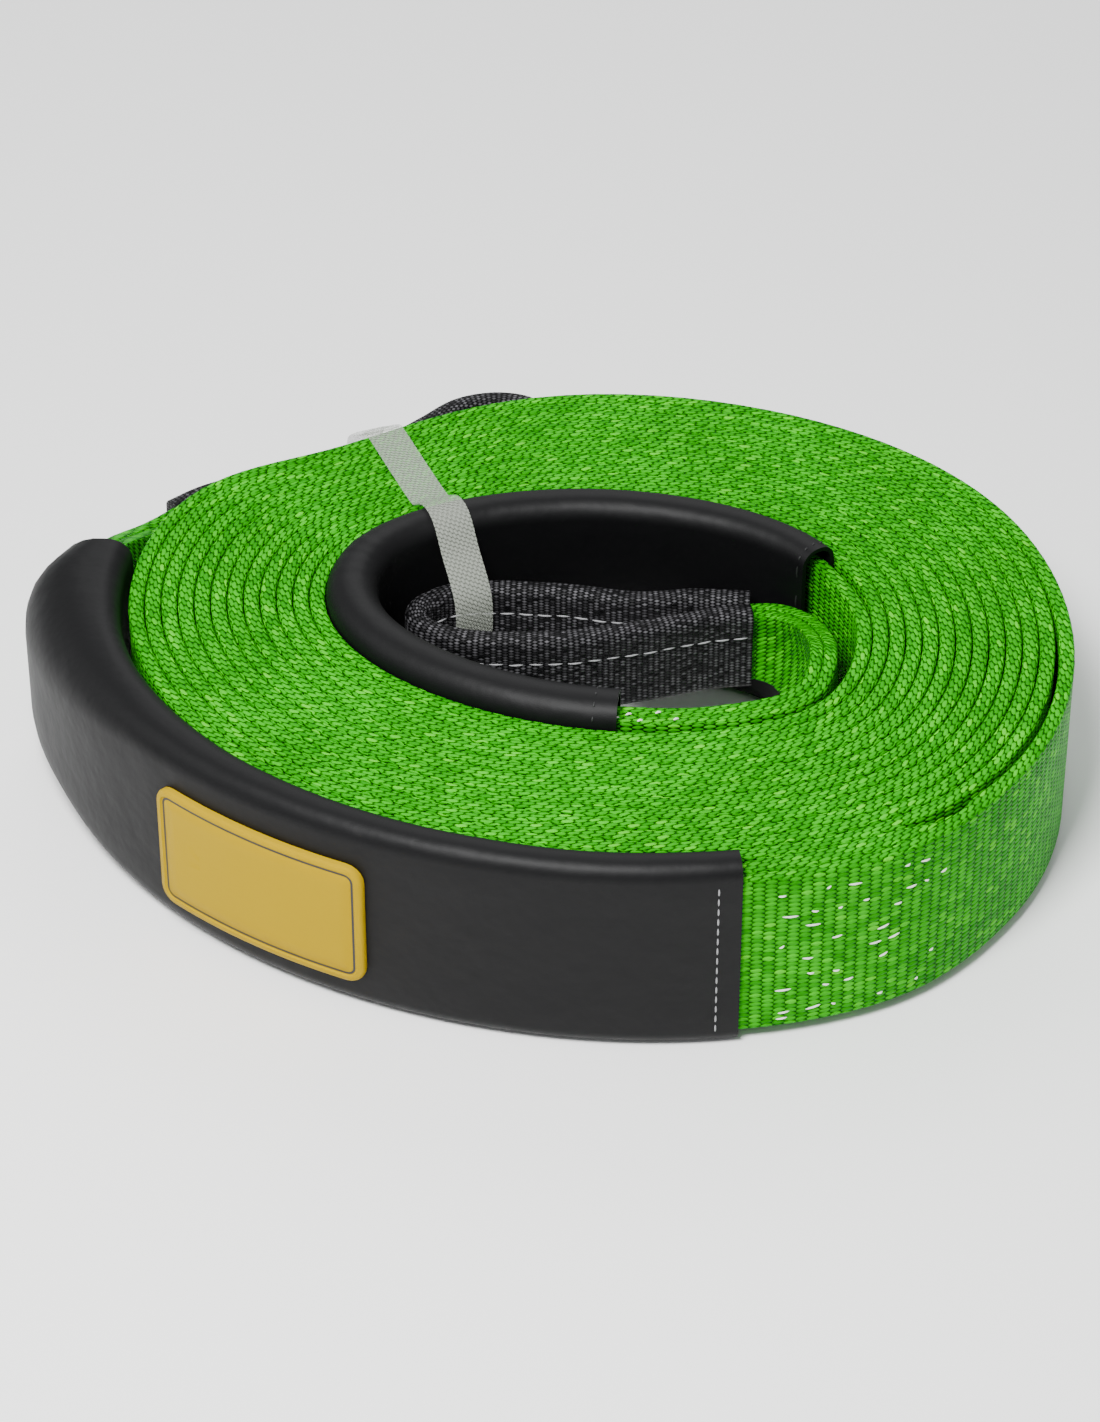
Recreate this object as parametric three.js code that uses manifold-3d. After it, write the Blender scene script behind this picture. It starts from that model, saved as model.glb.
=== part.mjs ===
// A coiled recovery and tree protection strap: flat webbing wound into an oval coil that
// stands on its edges, with two smooth wear sleeves, an eye in a woven sleeve at each end,
// a rubber badge and a tie tape. Sizes in mm, +Z up.
import * as THREE from 'three';
import { mergeVertices } from 'three/addons/utils/BufferGeometryUtils.js';
import Module from 'manifold-3d';

const wasm = await Module();
wasm.setup();

// Webbing
const WEB_WIDTH = 60;        // width of the flat strap, stands upright in the coil
const PLY = 4.95;            // thickness of one ply
const STITCHED = 8.8;        // two plies sewn hard together
const PITCH = 5.35;          // from one turn to the next
const FULL_TURNS = 12;       // whole turns before the outer sleeve's own turn
const STEP = 10;             // degrees between two corners of the wound line

// Plan of the bore: distance of the tangent from the middle, by direction
const BORE_R = 76.5;         // mean
const BORE_OVAL = 13.2;      // long axis against short axis
const BORE_EGG = 1.9;        // blunter at one end
const BORE_EGG_AT = 66;
const BORE_FLAT = 1.4;       // flatter sides
const BORE_FLAT_AT = 51;

// The tie pulls the turns together
const PINCH_AT = 129.5;
const PINCH = 0.21;          // part of the thickness taken away
const PINCH_SPREAD = 19.5;   // degrees

// Wear sleeves
const SLEEVE_BELOW = 4;      // sleeve reaches this far below the webbing
const SLEEVE_ABOVE = 7;      // and this far above it
const SLEEVE_WALL = 1.5;
const SLEEVE_ROUND = 5;      // rounding of its long edges
const CLEAR = 0.4;           // air between two pieces that lie together
const INNER_SLEEVE_FROM = -96;
const INNER_SLEEVE_TO = 134;
const OUTER_SLEEVE_FROM = FULL_TURNS * 360 + 251;
const OUTER_SLEEVE_TO = FULL_TURNS * 360 + 358;

// Eyes
const EYE_HEIGHT = 31;       // webbing folded to half its width, in its woven sleeve
const EYE_Z = 20;
const EYE_LEG = 7.8;         // thickness of one leg
const FOLD_INSET = 1.5;      // folded webbing is this much lower than its woven sleeve, each side

// Badge and tie
const BADGE_LONG = 78;
const BADGE_HIGH = 46;
const BADGE_THICK = 2.6;
const BADGE_CORNER = 6;
const BADGE_AT = 245.5;
const BADGE_Z = 34;
const TIE_WIDTH = 13;
const TIE_THICK = 1;
const TIE_AT = 124;

const WEB_Z = SLEEVE_BELOW;
const WEB_TOP = WEB_Z + WEB_WIDTH;
const SLEEVE_TOP = WEB_TOP + SLEEVE_ABOVE;

// Plan helpers
const rad = (deg) => THREE.MathUtils.degToRad(deg);
const wrap = (deg) => ((deg + 180) % 360 + 360) % 360 - 180;

function support(deg) {
  return BORE_R + BORE_OVAL * Math.cos(rad(2 * deg))
    + BORE_EGG * Math.cos(rad(3 * (deg - BORE_EGG_AT)))
    + BORE_FLAT * Math.cos(rad(4 * (deg - BORE_FLAT_AT)));
}

function supportSlope(deg) {
  return -2 * BORE_OVAL * Math.sin(rad(2 * deg))
    - 3 * BORE_EGG * Math.sin(rad(3 * (deg - BORE_EGG_AT)))
    - 4 * BORE_FLAT * Math.sin(rad(4 * (deg - BORE_FLAT_AT)));
}

function squeeze(deg) {
  const away = wrap(deg - PINCH_AT) / PINCH_SPREAD;
  return 1 - PINCH * Math.exp(-away * away);
}

// Point whose normal points to deg, off outside the bore line
function plan(deg, off) {
  const c = Math.cos(rad(deg));
  const s = Math.sin(rad(deg));
  const out = support(deg) + (off > 0 ? off * squeeze(deg) : off);
  const slope = supportSlope(deg);
  return new THREE.Vector2(out * c - slope * s, out * s + slope * c);
}

// Place in the bore, in parts of its mean radius, so that what lies in it follows its size
const inBore = ([x, y]) => new THREE.Vector2(x * BORE_R, y * BORE_R);

// Smooth value through [place, value] pairs
function blend(pairs, place) {
  const last = pairs.length - 1;
  if (place <= pairs[0][0]) return pairs[0][1];
  if (place >= pairs[last][0]) return pairs[last][1];
  const slope = (i) => {
    const a = pairs[Math.max(i - 1, 0)];
    const b = pairs[Math.min(i + 1, last)];
    return (b[1] - a[1]) / (b[0] - a[0]);
  };
  const i = pairs.findIndex((pair) => pair[0] > place) - 1;
  const [x0, y0] = pairs[i];
  const [x1, y1] = pairs[i + 1];
  const t = (place - x0) / (x1 - x0);
  const hold = t * t * (3 - 2 * t);
  return y0 + (y1 - y0) * hold
    + (x1 - x0) * t * (1 - t) * (slope(i) * (1 - t) - slope(i + 1) * t);
}

function steps(from, to, size) {
  const count = Math.max(1, Math.round(Math.abs(to - from) / size));
  return Array.from({ length: count + 1 }, (_, i) => from + (to - from) * i / count);
}

// Whole steps of the wound line that reach past both ends
function grid(from, to) {
  return steps(Math.floor(from / STEP) * STEP, Math.ceil(to / STEP) * STEP, STEP);
}

// Closed outline from one face forward and the other face back
const band = (outer, inner) => new THREE.Shape([...outer, ...inner.slice().reverse()]);

// Both faces of a band that follows a centre line
function faces(points, thick, count) {
  const curve = new THREE.SplineCurve(points);
  const outer = [];
  const inner = [];
  for (let i = 0; i <= count; i += 1) {
    const p = curve.getPointAt(i / count);
    const t = curve.getTangentAt(i / count);
    const side = new THREE.Vector2(-t.y, t.x).multiplyScalar(thick / 2);
    outer.push(p.clone().add(side));
    inner.push(p.clone().sub(side));
  }
  return { outer, inner };
}

// Solid helpers
function prism(shape, z0, z1, round = 0) {
  const geometry = new THREE.ExtrudeGeometry(shape, {
    depth: z1 - z0 - 2 * round,
    bevelEnabled: round > 0,
    bevelThickness: round,
    bevelSize: round,
    bevelOffset: -round,
    bevelSegments: 2,
    curveSegments: 6,
  });
  return geometry.translate(0, 0, z0 + round);
}

function solid(geometry) {
  const bare = geometry.clone();
  bare.deleteAttribute('normal');
  bare.deleteAttribute('uv');
  const welded = mergeVertices(bare, 1e-4);
  return new wasm.Manifold(new wasm.Mesh({
    numProp: 3,
    vertProperties: new Float32Array(welded.attributes.position.array),
    triVerts: new Uint32Array(welded.index.array),
  }));
}

function geometryOf(manifold) {
  const mesh = manifold.getMesh();
  const geometry = new THREE.BufferGeometry();
  geometry.setAttribute('position', new THREE.BufferAttribute(new Float32Array(mesh.vertProperties), 3));
  geometry.setIndex(new THREE.BufferAttribute(new Uint32Array(mesh.triVerts), 1));
  const flat = geometry.toNonIndexed();
  flat.computeVertexNormals();
  return flat;
}

// Webbing: outer face and thickness along the winding, in degrees wound from the left end
const RISE_END = OUTER_SLEEVE_FROM - 14;
const thickness = (wind) => STITCHED
  + (PLY - STITCHED) * THREE.MathUtils.smoothstep(wind, INNER_SLEEVE_TO - 6, INNER_SLEEVE_TO + 24)
  + (STITCHED - PLY) * THREE.MathUtils.smoothstep(wind, RISE_END - 34, RISE_END);
const THROAT_AT = 156;       // direction of the outer eye's throat
const THROAT_WIND = FULL_TURNS * 360 + 540 - THROAT_AT;
const TONGUE = 6;            // degrees of webbing inside the throat

const turnFace = (wind) => PITCH * wind / 360;
const innerSleeveFace = (wind) => turnFace(wind) + PITCH - PLY - CLEAR;
const innerSleeveThick = (wind) => blend([[-96, 17], [0, 17], [70, 14.6], [134, 12.8]], wind);
const innerMiddle = (wind) => innerSleeveFace(wind) - innerSleeveThick(wind) / 2;
const lastTurn = (wind) => turnFace(wind - 360);

// From the last whole turn to the middle of the stitched tail, in and beyond the outer sleeve
const TAIL_OFF_COIL = [
  [OUTER_SLEEVE_FROM, 6.72], [OUTER_SLEEVE_FROM + 31, 7.56], [OUTER_SLEEVE_FROM + 57, 9.57],
  [OUTER_SLEEVE_FROM + 84, 14.17], [OUTER_SLEEVE_FROM + 99, 14.95], [OUTER_SLEEVE_TO, 12.83],
  [THROAT_WIND, 10.44],
];

function webFaces(wind) {
  const thick = thickness(wind);
  const coiled = turnFace(wind) - thick / 2;
  const inSleeve = innerMiddle(wind);
  const start = THREE.MathUtils.smoothstep(wind, INNER_SLEEVE_TO, INNER_SLEEVE_TO + 34);
  let middle = inSleeve + (coiled - inSleeve) * start;
  // The sewn end is stiff: it stands off the coil and slides over it into the outer sleeve
  const lift = THREE.MathUtils.smoothstep(wind, RISE_END - 90, RISE_END - 40);
  if (lift > 0) middle += lift * (1.6 + (thick - PLY));
  const end = THREE.MathUtils.smoothstep(wind, RISE_END - 20, OUTER_SLEEVE_FROM);
  if (end > 0) middle += (lastTurn(wind) + blend(TAIL_OFF_COIL, wind) - middle) * end;
  return [middle + thick / 2, middle - thick / 2];
}

// Inner tail: along the coil, round the end of the bore and back to the throat of the eye
const innerTail = faces([
  ...[[0.438, 0.403], [0.582, 0.435], [0.719, 0.421], [0.834, 0.335], [0.919, 0.19], [0.97, 0]].map(inBore),
  plan(-16, -9.6), plan(-35, -8.4), plan(-55, -8.2), plan(-72, -8.9), plan(-82, -9.6),
], STITCHED, 30);
const windings = steps(-90, THROAT_WIND + TONGUE, STEP);
const strapShape = band(
  [...innerTail.outer, ...windings.map((w) => plan(180 - w, webFaces(w)[0]))],
  [...innerTail.inner, ...windings.map((w) => plan(180 - w, webFaces(w)[1]))],
);

// The two ends are folded to half their width: wedges taken off above and below
function foldCut(outer, inner, from, to) {
  const region = solid(prism(band(outer, inner), -1, WEB_TOP + 1));
  const along = to.clone().sub(from);
  const run = along.length();
  const wedge = (zEdge, zEye, far) => {
    const profile = new THREE.Shape([
      new THREE.Vector2(0, zEdge), new THREE.Vector2(run, zEye), new THREE.Vector2(run + 60, zEye),
      new THREE.Vector2(run + 60, far), new THREE.Vector2(0, far),
    ]);
    const block = prism(profile, -80, 80);
    block.rotateX(Math.PI / 2);
    block.rotateZ(along.angle());
    block.translate(from.x, from.y, 0);
    return solid(block);
  };
  const top = wedge(WEB_TOP, EYE_Z + EYE_HEIGHT - FOLD_INSET, WEB_TOP + 2);
  const low = wedge(WEB_Z, EYE_Z + FOLD_INSET, WEB_Z - 2);
  return region.intersect(top.add(low));
}

const widened = (points, other) => points.map((p, i) => (
  p.clone().add(p.clone().sub(other[i]).normalize().multiplyScalar(0.15))
));
const innerFold = innerTail.outer.slice(0, 15);
const innerFoldBack = innerTail.inner.slice(0, 15);
const outerWinds = steps(OUTER_SLEEVE_TO - 4, THROAT_WIND + TONGUE + 1, 4);
const tailOuter = outerWinds.map((w) => plan(180 - w, webFaces(w)[0] + 1));
const tailInner = outerWinds.map((w) => plan(180 - w, webFaces(w)[1] - 1));

let strap = solid(prism(strapShape, WEB_Z, WEB_TOP));
strap = strap.subtract(foldCut(
  widened(innerFold, innerFoldBack), widened(innerFoldBack, innerFold),
  inBore([0.954, 0.065]), inBore([0.641, 0.431]),
));
strap = strap.subtract(foldCut(
  tailOuter, tailInner,
  plan(180 - OUTER_SLEEVE_TO - 1, 77), plan(THROAT_AT + 3, 75),
));

// Sleeve: a tube round the strap, cut square at both ends
function sleeve(from, to, innerFace, outerFace) {
  const winds = grid(from - 2, to + 2);
  const bandAt = (shift) => band(
    winds.map((w) => plan(180 - w, outerFace(w) - shift)),
    winds.map((w) => plan(180 - w, innerFace(w) + shift)),
  );
  const skin = solid(prism(bandAt(0), 0, SLEEVE_TOP, SLEEVE_ROUND));
  const hollow = solid(prism(bandAt(SLEEVE_WALL), SLEEVE_WALL, SLEEVE_TOP - SLEEVE_WALL, SLEEVE_ROUND / 2));
  const cut = (a, b) => solid(prism(new THREE.Shape([
    plan(180 - a, outerFace(a) + 12), plan(180 - a, innerFace(a) - 8),
    plan(180 - b, innerFace(a) - 8), plan(180 - b, outerFace(a) + 12),
  ]), -2, SLEEVE_TOP + 2));
  return skin.subtract(hollow).subtract(cut(from, from - 20)).subtract(cut(to, to + 20));
}

// Tie: one closed loop of tape in the plane that cuts across the coil
const tieFrame = new THREE.Matrix4().makeBasis(
  new THREE.Vector3(Math.cos(rad(TIE_AT)), Math.sin(rad(TIE_AT)), 0),
  new THREE.Vector3(0, 0, 1),
  new THREE.Vector3(Math.sin(rad(TIE_AT)), -Math.cos(rad(TIE_AT)), 0),
);
const tieFoot = plan(TIE_AT, 0);
tieFrame.setPosition(tieFoot.x, tieFoot.y, 0);
const tieWind = FULL_TURNS * 360 + 180 - TIE_AT;
const coilEdge = turnFace(tieWind) * squeeze(TIE_AT);
const eyeSide = coilEdge + CLEAR + 2 * EYE_LEG + 2.4;
const backLeg = -31.5;       // inward side of the eye's back leg

// A closed outline moved outwards by the same distance all round
function grown(points, by) {
  return points.map((p, i) => {
    const a = points[(i + points.length - 1) % points.length];
    const b = points[(i + 1) % points.length];
    const u = p.clone().sub(a).normalize();
    const v = b.clone().sub(p).normalize();
    const bisector = new THREE.Vector2(u.y + v.y, -u.x - v.x).normalize();
    return p.clone().add(bisector.multiplyScalar(by / Math.max(0.5, bisector.dot(new THREE.Vector2(u.y, -u.x)))));
  });
}
const tieInside = [
  [backLeg, CLEAR + TIE_THICK], [eyeSide, CLEAR + TIE_THICK], [eyeSide, EYE_Z + EYE_HEIGHT],
  [coilEdge + 1, WEB_TOP + CLEAR], [3, WEB_TOP + CLEAR], [1.5, SLEEVE_TOP - 5],
  [0.7, SLEEVE_TOP - 1.7], [-1.8, SLEEVE_TOP + CLEAR / 2], [-4, SLEEVE_TOP + CLEAR],
  [-10.2, SLEEVE_TOP + CLEAR], [-13.8, SLEEVE_TOP - 1], [-15.8, SLEEVE_TOP - 4.5],
  [backLeg, EYE_Z + EYE_HEIGHT + CLEAR],
].map(([x, y]) => new THREE.Vector2(x, y));
const tieShape = new THREE.Shape(grown(tieInside, TIE_THICK));
tieShape.holes.push(new THREE.Path(tieInside));
const tieGeometry = prism(tieShape, -TIE_WIDTH / 2, TIE_WIDTH / 2).applyMatrix4(tieFrame);

// Inner sleeve with a shallow groove below for the tie
const NOTCH = TIE_THICK + 2 * CLEAR;
const notch = new THREE.BoxGeometry(40, NOTCH + 4, TIE_WIDTH + 2);
notch.translate(-12, NOTCH / 2 - 2, 0);
notch.applyMatrix4(tieFrame);
const innerSleeve = sleeve(
  INNER_SLEEVE_FROM, INNER_SLEEVE_TO,
  (w) => innerSleeveFace(w) - innerSleeveThick(w), innerSleeveFace,
).subtract(solid(notch));

// Outer sleeve: lies on the coil at its front end and stands away from it at the left end
const OUTER_FULLNESS = [
  [OUTER_SLEEVE_FROM, 13.02], [OUTER_SLEEVE_FROM + 31, 14.96], [OUTER_SLEEVE_FROM + 57, 20.57],
  [OUTER_SLEEVE_FROM + 77, 27.28], [OUTER_SLEEVE_FROM + 94, 34.02], [OUTER_SLEEVE_FROM + 101, 32.92],
  [OUTER_SLEEVE_TO, 24.83],
];
const OUTER_LIFT = [
  [OUTER_SLEEVE_FROM, 0], [OUTER_SLEEVE_FROM + 60, 1.6], [OUTER_SLEEVE_TO - 25, 2.6],
  [OUTER_SLEEVE_TO, 1.2],
];
const outerFace = (w) => lastTurn(w) + blend(OUTER_FULLNESS, w);
const outerBack = (w) => lastTurn(w) + CLEAR + blend(OUTER_LIFT, w);
const outerSleeve = sleeve(OUTER_SLEEVE_FROM, OUTER_SLEEVE_TO, outerBack, outerFace);

// Badge: a rubber plate moulded to the curve of the outer sleeve
const badgeWind = FULL_TURNS * 360 + 540 - BADGE_AT;
const badgeWinds = grid(badgeWind - 30, badgeWind + 30);
const badgeBand = solid(prism(band(
  badgeWinds.map((w) => plan(180 - w, outerFace(w) + CLEAR + BADGE_THICK)),
  badgeWinds.map((w) => plan(180 - w, outerFace(w) + CLEAR)),
), 0, SLEEVE_TOP));
const badgeOutline = new THREE.Shape();
const bx = BADGE_LONG / 2;
const by = BADGE_HIGH / 2;
badgeOutline.moveTo(-bx + BADGE_CORNER, -by);
badgeOutline.lineTo(bx - BADGE_CORNER, -by);
badgeOutline.quadraticCurveTo(bx, -by, bx, -by + BADGE_CORNER);
badgeOutline.lineTo(bx, by - BADGE_CORNER);
badgeOutline.quadraticCurveTo(bx, by, bx - BADGE_CORNER, by);
badgeOutline.lineTo(-bx + BADGE_CORNER, by);
badgeOutline.quadraticCurveTo(-bx, by, -bx, by - BADGE_CORNER);
badgeOutline.lineTo(-bx, -by + BADGE_CORNER);
badgeOutline.quadraticCurveTo(-bx, -by, -bx + BADGE_CORNER, -by);
const badgeCutter = prism(badgeOutline, -40, 40);
badgeCutter.rotateX(Math.PI / 2);
badgeCutter.rotateZ(rad(BADGE_AT + 90));
const badgeMiddle = plan(BADGE_AT, outerFace(badgeWind));
badgeCutter.translate(badgeMiddle.x, badgeMiddle.y, BADGE_Z);
const badge = badgeBand.intersect(solid(badgeCutter));

// Inner eye: a loop lying in the bore, seen open from above
const curveOf = (points, count) => new THREE.SplineCurve(points).getPoints(count);
const innerEyeShape = new THREE.Shape(curveOf([
  [0.557, 0.536], [0.314, 0.499], [0.078, 0.429], [-0.261, 0.418], [-0.641, 0.353], [-0.843, 0.203],
  [-0.863, 0.046], [-0.732, -0.065], [-0.497, -0.086], [-0.157, -0.013], [0.157, 0.124],
  [0.431, 0.275], [0.607, 0.335],
].map(inBore), 46));
innerEyeShape.holes.push(new THREE.Path(curveOf([
  [0.118, 0.238], [-0.183, 0.092], [-0.497, 0.016], [-0.693, 0.034], [-0.761, 0.092], [-0.74, 0.157],
  [-0.601, 0.254], [-0.235, 0.314], [0.039, 0.314], [0.125, 0.282],
].map(inBore), 38)));
const innerEyeLoop = solid(prism(innerEyeShape, EYE_Z, EYE_Z + EYE_HEIGHT, 2));

// Outer eye: lies along the coil behind it, pressed flat by the tie and open beyond it.
// Its places are a direction and a distance from the coil's face.
const offCoil = (deg, off) => {
  const face = turnFace(FULL_TURNS * 360 + 180 - deg);
  return plan(deg, face + off / squeeze(deg));
};
const EYE_OUT = [
  [THROAT_AT, 18.58], [150, 18.35], [144, 17.49], [137, 17.5], [128, 17.19], [121.5, 15.68],
  [117, 20.93], [113, 26.9], [109.5, 27.14], [106, 21.41], [103.6, 13.52], [103.2, 6.88],
];
const backSide = [...steps(105, 155, 5), THROAT_AT].map((deg) => (
  offCoil(deg, CLEAR + blend([[140, 0], [THROAT_AT, 3]], deg))
));
const frontSide = curveOf(EYE_OUT.map(([deg, off]) => offCoil(deg, off)), 26);
const outerEyeShape = new THREE.Shape([...backSide, ...frontSide].reverse());
const SLIT = [
  [146, 10.54, 9.54], [141, 10.23, 9.23], [135, 9.61, 8.71], [128, 9.29, 8.39], [122, 8.72, 7.82],
  [117, 12.93, 8.53], [113, 18.9, 8.3], [110, 19.2, 8],
];
outerEyeShape.holes.push(new THREE.Path(curveOf([
  ...SLIT.map(([deg, out]) => offCoil(deg, out)), offCoil(107.4, 14.52), offCoil(107.6, 9.61),
  ...SLIT.slice().reverse().map(([deg, , back]) => offCoil(deg, back)),
], 44)));
const outerEyeLoop = solid(prism(outerEyeShape, EYE_Z, EYE_Z + EYE_HEIGHT, 2));

// Pockets in the throats take the ends of the webbing
const pocket = (points, thick, count) => {
  const side = faces(points, thick, count);
  return solid(prism(band(side.outer, side.inner), EYE_Z + FOLD_INSET - CLEAR,
    EYE_Z + EYE_HEIGHT - FOLD_INSET + CLEAR));
};
const innerEye = innerEyeLoop.subtract(pocket(
  [[0.429, 0.4], [0.582, 0.435], [0.719, 0.421]].map(inBore), STITCHED + 2 * CLEAR, 8,
));
const tailPath = steps(THROAT_WIND + TONGUE + 0.5, THROAT_WIND - 6, 2.5).map((w) => {
  const [a, b] = webFaces(w);
  return plan(180 - w, (a + b) / 2);
});
const outerEye = outerEyeLoop.subtract(pocket(tailPath, STITCHED + 5 * CLEAR, 10));

// Colours and finish of each piece
const look = (color, roughness) => new THREE.MeshStandardMaterial({ color, roughness, metalness: 0 });
const pieces = [
  ['webbing_strap', geometryOf(strap), look('#4fc814', 0.75)],
  ['inner_wear_sleeve', geometryOf(innerSleeve), look('#2f2f31', 0.5)],
  ['outer_wear_sleeve', geometryOf(outerSleeve), look('#262628', 0.5)],
  ['inner_eye_sleeve', geometryOf(innerEye), look('#161616', 0.85)],
  ['outer_eye_sleeve', geometryOf(outerEye), look('#1a1a1b', 0.85)],
  ['rubber_badge', geometryOf(badge), look('#fbd005', 0.55)],
  ['tie_tape', geometryOf(solid(tieGeometry)), look('#b5bdb0', 0.8)],
];

const strapCoil = new THREE.Group();
strapCoil.name = 'coiled_strap';
for (const [name, geometry, material] of pieces) {
  const mesh = new THREE.Mesh(geometry, material);
  mesh.name = name;
  strapCoil.add(mesh);
}

// Origin: middle of the footprint, on the floor
const box = new THREE.Box3().setFromObject(strapCoil);
const middle = box.getCenter(new THREE.Vector3());
strapCoil.children.forEach((mesh) => mesh.geometry.translate(-middle.x, -middle.y, -box.min.z));

export default strapCoil;
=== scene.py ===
import bpy
import math
import random
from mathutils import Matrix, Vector, noise


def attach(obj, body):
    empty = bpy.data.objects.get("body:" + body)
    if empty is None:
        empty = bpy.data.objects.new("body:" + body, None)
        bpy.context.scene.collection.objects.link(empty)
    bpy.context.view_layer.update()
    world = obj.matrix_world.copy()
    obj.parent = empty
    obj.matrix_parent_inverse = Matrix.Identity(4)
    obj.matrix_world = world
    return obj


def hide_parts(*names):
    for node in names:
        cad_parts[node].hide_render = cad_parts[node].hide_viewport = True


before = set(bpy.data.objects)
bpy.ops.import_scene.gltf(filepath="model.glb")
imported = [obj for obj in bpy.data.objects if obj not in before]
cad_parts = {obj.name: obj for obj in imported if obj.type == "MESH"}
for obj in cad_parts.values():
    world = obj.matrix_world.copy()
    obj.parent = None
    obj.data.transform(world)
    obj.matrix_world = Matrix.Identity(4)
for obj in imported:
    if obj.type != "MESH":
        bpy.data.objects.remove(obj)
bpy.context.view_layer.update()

# The camera stands in front of the badge and looks down at the coil as the photograph does.
# It is made first, so that every piece can be looked at from the start.
PHOTO_TALL = 1422
FOCAL_PIXELS = 4605
CAMERA_AZIMUTH = math.radians(12)
CAMERA_ELEVATION = math.radians(38)
CAMERA_DISTANCE = 1.5
CAMERA_TARGET = Vector((0.00305, -0.01693, 0.034))

camera_data = bpy.data.cameras.new("camera")
camera_data.sensor_width = 36
camera_data.lens = 36 * FOCAL_PIXELS / PHOTO_TALL
camera = bpy.data.objects.new("camera", camera_data)
bpy.context.collection.objects.link(camera)
camera_back = Vector((
    math.sin(CAMERA_AZIMUTH) * math.cos(CAMERA_ELEVATION),
    -math.cos(CAMERA_AZIMUTH) * math.cos(CAMERA_ELEVATION),
    math.sin(CAMERA_ELEVATION),
))
camera.location = CAMERA_TARGET + CAMERA_DISTANCE * camera_back
camera.rotation_mode = "QUATERNION"
camera.rotation_quaternion = (-camera_back).to_track_quat("-Z", "Y")
bpy.context.scene.camera = camera


# Webbing: a flat woven polyester strap, dyed bright green, wound outwards on its edge round
# an oval bore. One ply lies on the next all the way; the sewn ends have a second ply.
# All lengths of the path are in mm and are turned to metres when a mesh is made.
WEB_WIDE = 60
PLY = 4.95
BOTH_PLIES = 8.8
SEWN_PLY = 4.35
PITCH = 5.35
FULL_TURNS = 12
WEB_FOOT = 4
SLEEVE_TALL = 71
CLEAR = 0.4
COIL_MIDDLE = (15.71, -0.026)

# The bore's line is a round one with three small waves, and the tie pinches the turns
BORE_R = 76.5
BORE_OVAL = 13.2
BORE_EGG = 1.9
BORE_EGG_AT = 66
BORE_FLAT = 1.4
BORE_FLAT_AT = 51
PINCH_AT = 129.5
PINCH = 0.21
PINCH_SPREAD = 19.5



def wind_at(deg, turns):
    """Degrees along the wound strap at the place deg round the coil, after whole turns."""
    return turns * 360 + 180 - deg


INNER_SLEEVE = (-96, 134)
OUTER_SLEEVE = (FULL_TURNS * 360 + 251, FULL_TURNS * 360 + 358)
RISE_END = OUTER_SLEEVE[0] - 14
THROAT_AT = 156
THROAT_WIND = wind_at(THROAT_AT, FULL_TURNS + 1)
EYE_FOOT = 20
EYE_TALL = 31


def smooth(value, low, high):
    """Share of the way from low to high, with soft ends."""
    t = min(max((value - low) / (high - low), 0), 1)
    return t * t * (3 - 2 * t)


def blend(pairs, place):
    """Smooth value through (place, value) pairs."""
    last = len(pairs) - 1
    if place <= pairs[0][0]:
        return pairs[0][1]
    if place >= pairs[last][0]:
        return pairs[last][1]

    def slope(i):
        a = pairs[max(i - 1, 0)]
        b = pairs[min(i + 1, last)]
        return (b[1] - a[1]) / (b[0] - a[0])

    i = next(k for k in range(last) if pairs[k + 1][0] > place)
    (x0, y0), (x1, y1) = pairs[i], pairs[i + 1]
    t = (place - x0) / (x1 - x0)
    bend = slope(i) * (1 - t) - slope(i + 1) * t
    return y0 + (y1 - y0) * t * t * (3 - 2 * t) + (x1 - x0) * t * (1 - t) * bend


def squeeze(deg):
    """The tie presses the turns together on its side of the coil."""
    away = ((deg - PINCH_AT + 180) % 360 - 180) / PINCH_SPREAD
    return 1 - PINCH * math.exp(-away * away)


def plan(deg, off):
    """Plan point with its normal at deg, off outside the bore line."""
    a = math.radians(deg)
    support = (
        BORE_R
        + BORE_OVAL * math.cos(2 * a)
        + BORE_EGG * math.cos(3 * (a - math.radians(BORE_EGG_AT)))
        + BORE_FLAT * math.cos(4 * (a - math.radians(BORE_FLAT_AT)))
    )
    slope = (
        -2 * BORE_OVAL * math.sin(2 * a)
        - 3 * BORE_EGG * math.sin(3 * (a - math.radians(BORE_EGG_AT)))
        - 4 * BORE_FLAT * math.sin(4 * (a - math.radians(BORE_FLAT_AT)))
    )
    out = support + (off * squeeze(deg) if off > 0 else off)
    return Vector((
        out * math.cos(a) - slope * math.sin(a),
        out * math.sin(a) + slope * math.cos(a),
    ))


def turn_face(wind):
    """Outer face of a turn, off the bore line."""
    return PITCH * wind / 360


def thickness(wind):
    """Thickness of the strap, which has both plies at its two ends."""
    start = smooth(wind, INNER_SLEEVE[1] - 6, INNER_SLEEVE[1] + 24)
    end = smooth(wind, RISE_END - 34, RISE_END)
    return BOTH_PLIES + (PLY - BOTH_PLIES) * start + (BOTH_PLIES - PLY) * end


def inner_sleeve_face(wind):
    """Outer face of the inner sleeve, just inside the first turn over it."""
    return turn_face(wind) + PITCH - PLY - CLEAR


def inner_sleeve_thick(wind):
    """Thickness of the sleeve's roll, fullest at the front and left."""
    return blend([(INNER_SLEEVE[0], 17), (0, 17), (70, 14.6), (INNER_SLEEVE[1], 12.8)], wind)


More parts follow.
